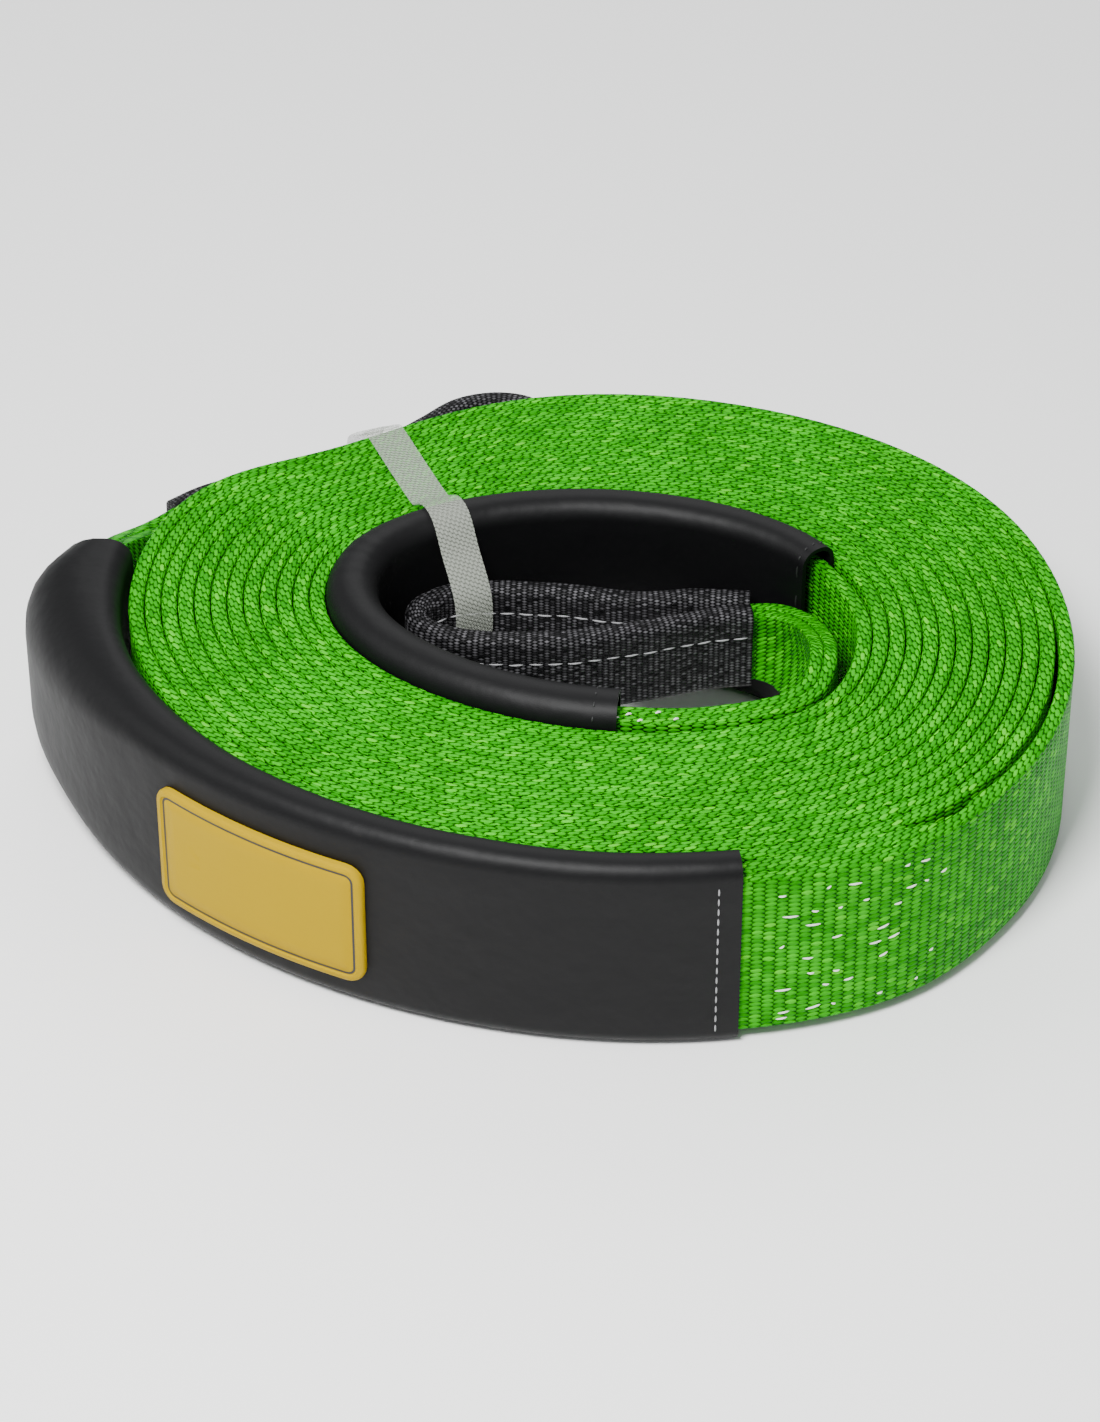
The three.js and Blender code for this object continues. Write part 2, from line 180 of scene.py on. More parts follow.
def web_faces(wind):
    """Outer and inner face of the strap, both plies where it is sewn double."""
    tail_middle = [
        (OUTER_SLEEVE[0], 69.3), (OUTER_SLEEVE[0] + 31, 70.6), (OUTER_SLEEVE[0] + 57, 73),
        (OUTER_SLEEVE[0] + 84, 78), (OUTER_SLEEVE[0] + 99, 79), (OUTER_SLEEVE[1], 77),
        (THROAT_WIND, 75),
    ]
    thick = thickness(wind)
    coiled = turn_face(wind) - thick / 2
    in_sleeve = inner_sleeve_face(wind) - inner_sleeve_thick(wind) / 2
    start = smooth(wind, INNER_SLEEVE[1], INNER_SLEEVE[1] + 34)
    middle = in_sleeve + (coiled - in_sleeve) * start
    middle += smooth(wind, RISE_END - 90, RISE_END - 40) * (1.6 + thick - PLY)
    end = smooth(wind, RISE_END - 20, OUTER_SLEEVE[0])
    middle += (blend(tail_middle, wind) - middle) * end
    return middle + thick / 2, middle - thick / 2


def catmull(points, count):
    """Even points along a smooth line through the given ones."""
    ends = [2 * points[0] - points[1], *points, 2 * points[-1] - points[-2]]
    fine = []
    for a, b, c, d in zip(ends, ends[1:], ends[2:], ends[3:]):
        for k in range(24):
            t = k / 24
            fine.append(0.5 * (
                2 * b + (c - a) * t + (2 * a - 5 * b + 4 * c - d) * t * t
                + (3 * b - a - 3 * c + d) * t ** 3
            ))
    fine.append(points[-1].copy())
    reach = [0]
    for a, b in zip(fine, fine[1:]):
        reach.append(reach[-1] + (b - a).length)
    even = []
    j = 0
    for i in range(count + 1):
        goal = reach[-1] * i / count
        while j < len(fine) - 2 and reach[j + 1] < goal:
            j += 1
        part = (goal - reach[j]) / max(reach[j + 1] - reach[j], 1e-9)
        even.append(fine[j].lerp(fine[j + 1], min(max(part, 0), 1)))
    return even


def on_arc(x, y, radius, deg):
    a = math.radians(deg)
    return x + radius * math.cos(a), y + radius * math.sin(a)


def rounded_outline(corners, arc, sides):
    """Closed outline of four round corners, each (x, y, radius, first angle).

    Each corner has arc edges, and the straight side after it has the given number.
    """
    points = []
    for i, (x, y, radius, start) in enumerate(corners):
        points += [on_arc(x, y, radius, start + 90 * k / arc) for k in range(arc + 1)]
        begin = points[-1]
        end = on_arc(*corners[(i + 1) % 4])
        for k in range(1, sides[i]):
            part = k / sides[i]
            points.append((
                begin[0] + (end[0] - begin[0]) * part, begin[1] + (end[1] - begin[1]) * part,
            ))
    return points


def rounded_section(low, high, foot, top, r_low, r_high, along=6, arc=4):
    """Outline of a rounded upright section, from the foot of the high side upwards."""
    return rounded_outline([
        (high - r_high, foot + r_high, r_high, -90), (high - r_high, top - r_high, r_high, 0),
        (low + r_low, top - r_low, r_low, 90), (low + r_low, foot + r_low, r_low, 180),
    ], arc, (along, 1, along, 1))


def in_metres(place, z):
    """Point of the frame, in metres, from a plan point and a height in mm."""
    return Vector((
        (place.x + COIL_MIDDLE[0]) / 1000, (place.y + COIL_MIDDLE[1]) / 1000, z / 1000,
    ))


def line_places(line):
    """Each point of a plan line with the direction square to it, towards its left."""
    places = []
    for i, p in enumerate(line):
        ahead = line[min(i + 1, len(line) - 1)] - line[max(i - 1, 0)]
        places.append((p, Vector((-ahead.y, ahead.x)).normalized()))
    return places


def sweep(name, places, sections, inner_sections=None):
    """Mesh of sections set upright along plan places, each an (origin, outward) pair.

    No primitive follows the wound path, so the strap, its sleeves and its eyes are all made
    this way. The UV map holds metres along the path and metres round the section. With
    inner sections the piece is a tube with a wall, open at both ends.
    """
    vertices = []
    faces = []
    uvs = []

    def skin(loops, flip):
        base = len(vertices)
        count = len(loops[0])
        along = 0
        tracks = []
        before = None
        for i, loop in enumerate(loops):
            origin, outward = places[i]
            depths = [d for d, _ in loop]
            centre = origin + outward * (min(depths) + max(depths)) / 2
            if i:
                along += (centre - before).length / 1000
            before = centre
            round_it = [0]
            for (d0, z0), (d1, z1) in zip(loop, loop[1:] + loop[:1]):
                round_it.append(round_it[-1] + math.hypot(d1 - d0, z1 - z0) / 1000)
            tracks.append((along, round_it))
            vertices.extend(in_metres(origin + outward * d, z) for d, z in loop)
        for i in range(len(loops) - 1):
            (u0, v0), (u1, v1) = tracks[i], tracks[i + 1]
            for k in range(count):
                n = (k + 1) % count
                a = base + i * count
                b = a + count
                quad = [a + k, a + n, b + n, b + k]
                corner = [(u0, v0[k]), (u0, v0[k + 1]), (u1, v1[k + 1]), (u1, v1[k])]
                if flip:
                    quad.reverse()
                    corner.reverse()
                faces.append(quad)
                uvs.extend(corner)
        return base, count, tracks

    base, count, tracks = skin(sections, False)
    last = base + (len(sections) - 1) * count
    if inner_sections:
        inner_base, _, _ = skin(inner_sections, True)
        inner_last = inner_base + (len(sections) - 1) * count
        for k in range(count):
            n = (k + 1) % count
            faces.append([base + n, base + k, inner_base + k, inner_base + n])
            faces.append([last + k, last + n, inner_last + n, inner_last + k])
            for u in (0, tracks[-1][0]):
                uvs.extend([(u, tracks[0][1][k])] * 4)
    else:
        faces.append([base + k for k in reversed(range(count))])
        faces.append([last + k for k in range(count)])
        for end in (sections[0][::-1], sections[-1]):
            uvs.extend([(d / 1000, z / 1000) for d, z in end])

    mesh = bpy.data.meshes.new(name)
    mesh.from_pydata(vertices, [], faces)
    layer = mesh.uv_layers.new(name="UVMap")
    layer.data.foreach_set("uv", [c for uv in uvs for c in uv])
    mesh.shade_smooth()
    piece = bpy.data.objects.new(name, mesh)
    bpy.context.collection.objects.link(piece)
    return piece


def face_out(piece):
    """Turns every face of a closed piece outwards and keeps its sharp edges."""
    bpy.ops.object.select_all(action="DESELECT")
    piece.select_set(True)
    bpy.context.view_layer.objects.active = piece
    bpy.ops.object.mode_set(mode="EDIT")
    bpy.ops.mesh.select_all(action="SELECT")
    bpy.ops.mesh.normals_make_consistent(inside=False)
    bpy.ops.object.mode_set(mode="OBJECT")
    bpy.ops.object.shade_smooth_by_angle(angle=math.radians(50))


def linear(code, alpha=1):
    """Linear colour from an sRGB hex value."""
    parts = [int(code[i:i + 2], 16) / 255 for i in (1, 3, 5)]
    return (*[c / 12.92 if c <= 0.04045 else ((c + 0.055) / 1.055) ** 2.4 for c in parts], alpha)


def add_node(tree, kind, inputs=None, **settings):
    """Adds a node with its settings, and a value or a link for each named input."""
    node = tree.nodes.new(kind)
    for key, value in settings.items():
        setattr(node, key, value)
    for key, value in (inputs or {}).items():
        if isinstance(value, bpy.types.NodeSocket):
            tree.links.new(value, node.inputs[key])
        else:
            node.inputs[key].default_value = value
    return node


def start_material(name):
    """New material with its tree and its shader."""
    material = bpy.data.materials.new(name)
    material.use_nodes = True
    tree = material.node_tree
    return material, tree, tree.nodes["Principled BSDF"]


def sums(tree, operation, first, second=0.0, third=0.0):
    """Result of one maths node."""
    return add_node(
        tree, "ShaderNodeMath", {0: first, 1: second, 2: third}, operation=operation
    ).outputs[0]


def woven_floats(tree, along, around, rib, float_long, lean=0.0):
    """Height and cell number of floats that lie in ribs, each second rib shifted by half."""
    leaning = sums(tree, "MULTIPLY_ADD", around, lean, along)
    rib_place = sums(tree, "DIVIDE", leaning, rib)
    rib_number = sums(tree, "FLOOR", rib_place)
    shift = sums(tree, "MULTIPLY", rib_number, 0.5)
    float_place = sums(tree, "ADD", sums(tree, "DIVIDE", around, float_long), shift)
    float_number = sums(tree, "FLOOR", float_place)
    gaps = []
    for place in (rib_place, float_place):
        wave = sums(tree, "SINE", sums(tree, "MULTIPLY", place, math.pi))
        crown = sums(tree, "POWER", sums(tree, "ABSOLUTE", wave), 0.5)
        gaps.append(sums(tree, "SUBTRACT", 1.0, crown))
    rib_gap, float_gap = gaps
    corner = sums(tree, "MULTIPLY", sums(tree, "MULTIPLY", rib_gap, float_gap), 3.0)
    either = sums(tree, "MULTIPLY", sums(tree, "ADD", rib_gap, float_gap), 0.28)
    depth = add_node(
        tree, "ShaderNodeMath", {0: corner, 1: either}, operation="ADD", use_clamp=True
    )
    height = sums(tree, "SUBTRACT", 1.0, depth.outputs[0])
    cell = add_node(tree, "ShaderNodeCombineXYZ", {"X": rib_number, "Y": float_number}).outputs[0]
    return height, cell


# Dyed polyester webbing, woven: thick glossy floats, with painted shade in the gaps between
# them and painted highlights on a few floats. The broad face shows cross ribs 3.7 mm apart,
# and the edge shows slanting floats of about 4 mm.
web_material, tree, shader = start_material("dyed_polyester_webbing")
web_uv = add_node(tree, "ShaderNodeUVMap", uv_map="UVMap")
web_axes = add_node(tree, "ShaderNodeSeparateXYZ", {"Vector": web_uv.outputs["UV"]})
web_wobble = add_node(tree, "ShaderNodeTexNoise", {
    "Vector": add_node(tree, "ShaderNodeTexCoord").outputs["Object"],
    "Scale": 260.0, "Detail": 2.0,
})
wobble = sums(tree, "MULTIPLY", sums(tree, "SUBTRACT", web_wobble.outputs["Fac"], 0.5), 0.0011)
web_along = sums(tree, "ADD", web_axes.outputs["X"], wobble)
web_around = sums(tree, "ADD", web_axes.outputs["Y"], wobble)
face_height, face_cell = woven_floats(tree, web_along, web_around, 0.0037, 0.0017)
edge_height, edge_cell = woven_floats(tree, web_along, web_around, 0.0034, 0.0018, 0.9)
web_normal = add_node(tree, "ShaderNodeSeparateXYZ", {
    "Vector": add_node(tree, "ShaderNodeTexCoord").outputs["Normal"],
})
upright = add_node(tree, "ShaderNodeMapRange", {
    "Value": sums(tree, "ABSOLUTE", web_normal.outputs["Z"]), "From Min": 0.55, "From Max": 0.8,
}).outputs["Result"]
web_height = add_node(tree, "ShaderNodeMix", {
    "Factor": upright, 2: face_height, 3: edge_height,
}).outputs[0]
face_shade = add_node(tree, "ShaderNodeTexWhiteNoise", {"Vector": face_cell}).outputs["Value"]
edge_shade = add_node(tree, "ShaderNodeTexWhiteNoise", {"Vector": edge_cell}).outputs["Value"]
web_shade = add_node(tree, "ShaderNodeMix", {
    "Factor": upright, 2: face_shade, 3: edge_shade,
}).outputs[0]
# Random tone for each float; the top of the ramp, above 0.86, is painted highlight on a few floats
float_tone_and_painted_highlights = add_node(tree, "ShaderNodeValToRGB", {"Fac": web_shade})
float_tone_and_painted_highlights.color_ramp.elements[0].color = linear("#107800")
float_tone_and_painted_highlights.color_ramp.elements[1].color = linear("#44BA00")
float_tone_and_painted_highlights.color_ramp.elements.new(0.86).color = linear("#249E00")
float_tone_and_painted_highlights.color_ramp.elements.new(0.96).color = linear("#34B000")
soft_patches = add_node(tree, "ShaderNodeTexNoise", {
    "Vector": add_node(tree, "ShaderNodeTexCoord").outputs["Object"], "Scale": 28.0, "Detail": 2.0,
})
patch_value = sums(tree, "MULTIPLY_ADD", soft_patches.outputs["Fac"], 0.7, 0.7)
patched_tone_and_painted_highlights = add_node(tree, "ShaderNodeHueSaturation", {
    "Color": float_tone_and_painted_highlights.outputs["Color"], "Value": patch_value,
})
# Painted shade: where the weave is low, between the floats, the colour darkens towards #073000
floats_with_painted_gap_shade = add_node(tree, "ShaderNodeMix", {
    "Factor": add_node(tree, "ShaderNodeMapRange", {
        "Value": web_height, "From Min": 0.0, "From Max": 0.85,
    }).outputs["Result"],
    "A": linear("#073000"), "B": patched_tone_and_painted_highlights.outputs["Color"],
}, data_type="RGBA")
web_bump = add_node(tree, "ShaderNodeBump", {
    "Height": web_height, "Strength": 1.0, "Distance": 0.0009,
})
tree.links.new(floats_with_painted_gap_shade.outputs["Result"], shader.inputs["Base Color"])
tree.links.new(web_bump.outputs["Normal"], shader.inputs["Normal"])
shader.inputs["Roughness"].default_value = 0.5
shader.inputs["Specular IOR Level"].default_value = 0.07
shader.inputs["Specular Tint"].default_value = linear("#50FF00")


def wound_places(winds):
    """Origin and outward direction at each wound angle, on the bore line itself."""
    made = []
    for wind in winds:
        a = math.radians(180 - wind)
        made.append((plan(180 - wind, 0), Vector((math.cos(a), math.sin(a)))))
    return made


def wound_offset(wind, off):
    """Offset as it lies in the coil, less where the tie presses the turns together."""
    return off * squeeze(180 - wind) if off > 0 else off


def winds_between(start, end, step):
    """Even steps along the strap, about step degrees apart."""
    count = max(1, round((end - start) / step))
    return [start + (end - start) * i / count for i in range(count + 1)]


def outer_fold(wind):
    """Foot and top of the strap as the outer end is folded to half its width."""
    part = smooth(wind, OUTER_SLEEVE[1] - 2, THROAT_WIND - 3)
    foot = WEB_FOOT + (EYE_FOOT + 1.5 - WEB_FOOT) * part
    top = WEB_FOOT + WEB_WIDE + (EYE_FOOT + EYE_TALL - 1.5 - WEB_FOOT - WEB_WIDE) * part
    return foot, top


web_winds = winds_between(INNER_SLEEVE[0] + 6, THROAT_WIND + 5, 3)
web_sections = []
for wind in web_winds:
    outer, inner = web_faces(wind)
    outer_at = wound_offset(wind, outer)
    inner_at = wound_offset(wind, inner)
    if wind > RISE_END - 20:
        ply = SEWN_PLY + (PLY - SEWN_PLY) * (1 - smooth(wind, RISE_END - 20, RISE_END))
        inner_at = outer_at - ply
    elif wind < INNER_SLEEVE[1] + 24:
        ply = SEWN_PLY + (PLY - SEWN_PLY) * smooth(wind, INNER_SLEEVE[1], INNER_SLEEVE[1] + 24)
        inner_at = outer_at - ply
    foot, top = outer_fold(wind)
    web_sections.append(rounded_section(inner_at, outer_at, foot, top, 1.1, 1.1, along=5, arc=3))
webbing = sweep("coiled_webbing", wound_places(web_winds), web_sections)
webbing.data.materials.append(web_material)
face_out(webbing)
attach(webbing, "root")
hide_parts("webbing_strap")

# Outer doubled end: the strap's own end, folded back inside the last turn and sewn to it.
# It starts with a cut edge where the dark gap beside the last turn closes.
double_winds = winds_between(RISE_END - 16, THROAT_WIND + 5, 3)
double_sections = []
for wind in double_winds:
    outer_at = wound_offset(wind, web_faces(wind)[0]) - SEWN_PLY - 0.1
    room = wound_offset(wind, turn_face(wind - 360)) + 0.2
    closed = smooth(wind, RISE_END - 16, RISE_END - 5)
    inner_at = outer_at - SEWN_PLY
    if wind < OUTER_SLEEVE[0]:
        inner_at = outer_at - 0.4 - (outer_at - 0.4 - room) * closed
    edge = min(0.9, (outer_at - inner_at) * 0.45)
    foot, top = outer_fold(wind)
    double_sections.append(
        rounded_section(inner_at, outer_at, foot, top, edge, edge, along=5, arc=3)
    )
outer_double = sweep("outer_doubled_end", wound_places(double_winds), double_sections)
outer_double.data.materials.append(web_material)
face_out(outer_double)
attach(outer_double, "root")

# Inner tail: both plies run on past the sleeve, turn back at the end of the bore and are
# folded to half their width, where they go into the throat of the inner eye.
TAIL_STEPS = 90

tail_line = catmull([
    Vector((36, 31.3)), Vector((44.5, 33.3)), Vector((55, 32.2)), Vector((63.8, 25.6)),
    Vector((70.3, 14.5)), Vector((74.2, 0)), plan(-16, -9.6), plan(-35, -8.4), plan(-55, -8.2),
    plan(-72, -8.9), plan(-84, -9.5), plan(-92, -9.7),
], TAIL_STEPS)
tail_places = line_places(tail_line)


def tail_section(i, low, high):
    """One ply of the tail: it narrows and bows as it is folded towards the eye."""
    part = 1 - smooth(i / TAIL_STEPS, 0.06, 0.42)
    foot = WEB_FOOT + (EYE_FOOT + 2 - WEB_FOOT) * part
    top = WEB_FOOT + WEB_WIDE + (EYE_FOOT + EYE_TALL - 2.5 - WEB_FOOT - WEB_WIDE) * part
    top -= 2 * (1 - smooth(i / TAIL_STEPS, 0, 0.1))
    bow = 3.2 * math.sin(math.pi * min(part * 1.1, 1)) + 1.2 * part
    section = rounded_section(low, high, foot, top, 1.0, 1.0, along=8, arc=3)
    middle = (foot + top) / 2
    half = (top - foot) / 2
    return [(d + bow * (0.5 - ((z - middle) / half) ** 2), z) for d, z in section]


for name, low, high in (("inner_tail_near_ply", -4.4, -0.05), ("inner_tail_far_ply", 0.05, 4.4)):
    tail = sweep(name, tail_places, [tail_section(i, low, high) for i in range(TAIL_STEPS + 1)])
    tail.data.materials.append(web_material)
    face_out(tail)
    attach(tail, "root")

# Inner wear sleeve: a smooth tube of coated fabric over the sewn overlap of the inner end.
# It is fuller than the webbing, so it stands proud as a soft roll and puckers in its bend.
SLEEVE_WALL = 1.5
PUCKER_FOOT = 40

# Coated polyester fabric, calendered: a soft satin sheen over shallow dents, with a grain
# too fine to see at this size
sleeve_material, tree, shader = start_material("smooth_coated_fabric")
sleeve_place = add_node(tree, "ShaderNodeTexCoord").outputs["Object"]
soft_dents = add_node(tree, "ShaderNodeTexNoise", {
    "Vector": sleeve_place, "Scale": 55.0, "Detail": 3.0, "Roughness": 0.5,
})
fine_grain = add_node(tree, "ShaderNodeTexNoise", {
    "Vector": sleeve_place, "Scale": 2200.0, "Detail": 2.0,
})
dents = add_node(tree, "ShaderNodeBump", {
    "Height": soft_dents.outputs["Fac"], "Strength": 0.5, "Distance": 0.0015,
})
grain = add_node(tree, "ShaderNodeBump", {
    "Height": fine_grain.outputs["Fac"], "Normal": dents.outputs["Normal"],
    "Strength": 0.25, "Distance": 0.0001,
})
shader.inputs["Base Color"].default_value = linear("#060607")
shader.inputs["Roughness"].default_value = 0.52
shader.inputs["Specular IOR Level"].default_value = 0.17
tree.links.new(grain.outputs["Normal"], shader.inputs["Normal"])


def sleeve_tube(name, start, end, low_face, high_face, r_low, r_high, pucker):
    """Tube of coated fabric between two faces, with soft puckers across its top."""
    winds = winds_between(start, end, 2)

    def skin(wind, depth):
        """Section of the tube, depth mm inside its outer skin."""
        section = rounded_section(
            low_face(wind) + depth, high_face(wind) - depth, depth, SLEEVE_TALL - depth,
            r_low(wind) - depth, r_high(wind) - depth, 8, 7,
        )
        wave = pucker(wind)
        return [(d, z + wave * smooth(z, PUCKER_FOOT, SLEEVE_TALL)) for d, z in section]

    outside = [skin(wind, 0) for wind in winds]
    inside = [skin(wind, SLEEVE_WALL) for wind in winds]
    tube = sweep(name, wound_places(winds), outside, inside)
    tube.data.materials.append(sleeve_material)
    face_out(tube)
    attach(tube, "root")
    return tube


def inner_round(wind):
    return inner_sleeve_thick(wind) * 0.46


def inner_pucker(wind):
    bend = math.exp(-((wind - 30) / 45) ** 2)
    return 0.35 * bend * math.sin(math.radians(wind) * 26) * noise.noise(Vector((wind / 17, 0, 0)))


inner_sleeve = sleeve_tube(
    "inner_smooth_sleeve", *INNER_SLEEVE,
    lambda w: inner_sleeve_face(w) - inner_sleeve_thick(w),
    lambda w: wound_offset(w, inner_sleeve_face(w)),
    inner_round, inner_round, inner_pucker,
)
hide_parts("inner_wear_sleeve")


# Outer wear sleeve: the same tube over the outer end. It lies flat on the coil at its front
# end and swells away from it towards the left end, where it stands open.
def outer_face(wind):
    return wound_offset(wind, blend([
        (OUTER_SLEEVE[0], 75.2), (OUTER_SLEEVE[0] + 31, 77.5), (OUTER_SLEEVE[0] + 57, 82.5),
        (OUTER_SLEEVE[0] + 77, 90), (OUTER_SLEEVE[0] + 94, 98), (OUTER_SLEEVE[0] + 101, 98),
        (OUTER_SLEEVE[1], 92),
    ], wind))


def outer_back(wind):
    lift = blend([
        (OUTER_SLEEVE[0], 0), (OUTER_SLEEVE[0] + 60, 1.6), (OUTER_SLEEVE[1] - 25, 2.6),
        (OUTER_SLEEVE[1], 1.2),
    ], wind)
    return wound_offset(wind, turn_face(wind - 360) + CLEAR + lift)


def outer_round(wind):
    return blend([
        (OUTER_SLEEVE[0], 5.4), (OUTER_SLEEVE[0] + 57, 8), (OUTER_SLEEVE[0] + 90, 20),
        (OUTER_SLEEVE[1], 17),
    ], wind)


def outer_pucker(wind):
    return 0.25 * noise.noise(Vector((wind / 9, 3, 0)))


outer_sleeve = sleeve_tube(
    "outer_smooth_sleeve", *OUTER_SLEEVE, outer_back, outer_face,
    lambda w: min(7, 0.45 * (outer_face(w) - outer_back(w))), outer_round, outer_pucker,
)
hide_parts("outer_wear_sleeve")

# Eyes: each end of the strap is folded to half its width and covered by a ribbed tube of
# woven nylon, closed along one side by a seam and sewn down with grey thread.
EYE_LEG = 7.8
SEAM_DROP = 10

# Nylon sleeve, woven in ribs 1.9 mm apart: matt black, with painted highlights as pale flecks on
# its float tops
woven_material, tree, shader = start_material("ribbed_woven_nylon")
woven_uv = add_node(tree, "ShaderNodeUVMap", uv_map="UVMap")
woven_axes = add_node(tree, "ShaderNodeSeparateXYZ", {"Vector": woven_uv.outputs["UV"]})
rib_height, rib_cell = woven_floats(
    tree, woven_axes.outputs["X"], woven_axes.outputs["Y"], 0.0019, 0.0011
)
rib_shade = add_node(tree, "ShaderNodeTexWhiteNoise", {"Vector": rib_cell}).outputs["Value"]
# Painted highlight: the tops of the ribs are lightened towards grey, by a random amount for each
# float
rib_tops = add_node(tree, "ShaderNodeMapRange", {
    "Value": rib_height, "From Min": 0.78, "From Max": 1.0,
}).outputs["Result"]
rib_painted_highlight = sums(tree, "MULTIPLY", rib_tops, rib_shade)
black_ribs_with_painted_highlights = add_node(tree, "ShaderNodeMix", {
    "Factor": rib_painted_highlight, "A": linear("#030304"), "B": linear("#58575A"),
}, data_type="RGBA")
rib_bump = add_node(tree, "ShaderNodeBump", {
    "Height": rib_height, "Strength": 0.9, "Distance": 0.0004,
})
tree.links.new(black_ribs_with_painted_highlights.outputs["Result"], shader.inputs["Base Color"])
tree.links.new(rib_bump.outputs["Normal"], shader.inputs["Normal"])
shader.inputs["Roughness"].default_value = 0.55
shader.inputs["Specular IOR Level"].default_value = 0.12


def eye_section():
    """Leg of an eye: a full roll above the seam, a flatter flap below it."""
    outline = rounded_section(
        -EYE_LEG / 2, EYE_LEG / 2, EYE_FOOT, EYE_FOOT + EYE_TALL, 3.2, 3.2, along=14, arc=5
    )
    seam = EYE_FOOT + EYE_TALL - SEAM_DROP
    shaped = []
    for d, z in outline:
        groove = 0.9 * math.exp(-((z - seam) / 1.1) ** 2)
        flap = 0.5 * smooth(seam - z, 0, 3) * (1 - smooth(seam - z, 12, 20))
        shaped.append((d - math.copysign(groove + flap, d), z))
    return shaped


def eye_loop(name, centre_line, count):
    """One eye along the middle of its leg, from one side of the throat to the other."""
    places = line_places(catmull(centre_line, count))
    loop = sweep(name, places, [eye_section()] * len(places))
    loop.data.materials.append(woven_material)
    face_out(loop)
    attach(loop, "root")
    return loop, places


inner_eye, inner_eye_places = eye_loop("inner_eye_woven_sleeve", [
    Vector(p) for p in (
        (45.4, 29.6), (32.2, 24.7), (10.6, 13.1), (-12.8, 2.8), (-38.2, -2.7), (-54.5, -1.4),
        (-62.2, 4.9), (-60.6, 14), (-47.9, 23.3), (-19.5, 28.1), (6.4, 28.9), (24.6, 34.3),
        (43.5, 37.2),
    )
], 150)
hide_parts("inner_eye_sleeve")


def flat(deg, off):
    """Plan point at a distance that the tie's squeeze doesn't change."""
    return plan(deg, off / squeeze(deg))


outer_eye, outer_eye_places = eye_loop("outer_eye_woven_sleeve", [
    flat(THROAT_AT, 77.1), flat(150, 74.6), flat(144, 70.5), flat(137, 66.7), flat(128, 64.7),
    flat(122, 65.6), flat(117, 73), flat(113, 81.5), flat(109.5, 83.6), flat(106.6, 80.4),
    flat(105.6, 74), flat(107.5, 67.4), flat(113, 62.6), flat(117.5, 60.2), flat(122, 57.8),
    flat(128, 56.4), flat(137, 58.3), flat(144, 62.2), flat(150, 66.2), flat(THROAT_AT, 69),
], 170)
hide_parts("outer_eye_sleeve")

# Tie: a flat grey tape, woven, passed round one side of the coil with the eyes under it.
# It lies flat on the webbing, climbs over the roll of the sleeve and drops into the bore.
# Its route is (out from the bore line, up) in mm, and no primitive follows it.
TIE_WIDE = 13
TIE_THICK = 1
TIE_AT = 124
TIE_ACROSS = 7

# Polyester tape, woven thin and open: pale, with the dark pieces under it showing through
tie_material, tree, shader = start_material("woven_grey_tape")
tie_uv = add_node(tree, "ShaderNodeUVMap", uv_map="UVMap")
tie_axes = add_node(tree, "ShaderNodeSeparateXYZ", {"Vector": tie_uv.outputs["UV"]})
tie_height, _ = woven_floats(
    tree, tie_axes.outputs["X"], tie_axes.outputs["Y"], 0.0016, 0.0013, 0.6
)
tie_colour = add_node(tree, "ShaderNodeMix", {
    "Factor": tie_height, "A": linear("#5A6054"), "B": linear("#BFC5B8"),
}, data_type="RGBA")
tie_bump = add_node(tree, "ShaderNodeBump", {
    "Height": tie_height, "Strength": 0.7, "Distance": 0.0003,
})
tree.links.new(tie_colour.outputs["Result"], shader.inputs["Base Color"])
tree.links.new(tie_bump.outputs["Normal"], shader.inputs["Normal"])
shader.inputs["Roughness"].default_value = 0.6
shader.inputs["Alpha"].default_value = 0.3

tie_wind = wind_at(TIE_AT, FULL_TURNS)
coil_edge = turn_face(tie_wind) * squeeze(TIE_AT)
eye_side = coil_edge + CLEAR + 2 * EYE_LEG + 2.4
back_leg = -31.7
web_top = WEB_FOOT + WEB_WIDE
tie_route = [Vector(p) for p in (
    (20, CLEAR + 1.2), (eye_side - 6, CLEAR + 1.2), (eye_side, 7), (eye_side, 30),
    (eye_side, EYE_FOOT + EYE_TALL - 1), (coil_edge + 3.4, web_top - 2.6),
    (coil_edge - 1.5, web_top + CLEAR + 0.1), (30, web_top + CLEAR),
    (9, web_top + CLEAR + 0.2), (4, web_top + 2.6), (1.2, SLEEVE_TALL - 2.2),
    (-4.5, SLEEVE_TALL + CLEAR), (-10.4, SLEEVE_TALL + CLEAR), (-14.8, SLEEVE_TALL - 2.4),
    (-20, SLEEVE_TALL - 8.5), (back_leg, EYE_FOOT + EYE_TALL - 1), (back_leg, 30),
    (back_leg, 7), (back_leg + 6.2, CLEAR + 1.2), (-10, CLEAR + 1.2), (20, CLEAR + 1.2),
)]
tie_line = catmull(tie_route, 240)
tie_out = Vector(on_arc(0, 0, 1, TIE_AT))
tie_side = Vector((-tie_out.y, tie_out.x))
tie_foot = plan(TIE_AT, 0)
tie_vertices = []
tie_faces = []
tie_uvs = []
for i, p in enumerate(tie_line[:-1]):
    before = tie_line[i - 1] if i else tie_line[-2]
    ahead = tie_line[i + 1] - before
    lift = Vector((ahead.y, -ahead.x)).normalized()
    for face in (0, 1):
        for k in range(TIE_ACROSS):
            s = (k / (TIE_ACROSS - 1) - 0.5) * TIE_WIDE
            rim = 1 - 0.35 * (abs(s) > TIE_WIDE / 2 - 0.1)
            q = p + lift * (TIE_THICK * (rim if face else 1 - rim))
            tie_vertices.append(in_metres(tie_foot + tie_out * q.x + tie_side * s, q.y))
ring = 2 * TIE_ACROSS
loop_count = len(tie_line) - 1
order = [*range(TIE_ACROSS, ring), *reversed(range(TIE_ACROSS))]
step_along = sum((b - a).length for a, b in zip(tie_line, tie_line[1:])) / loop_count / 1000
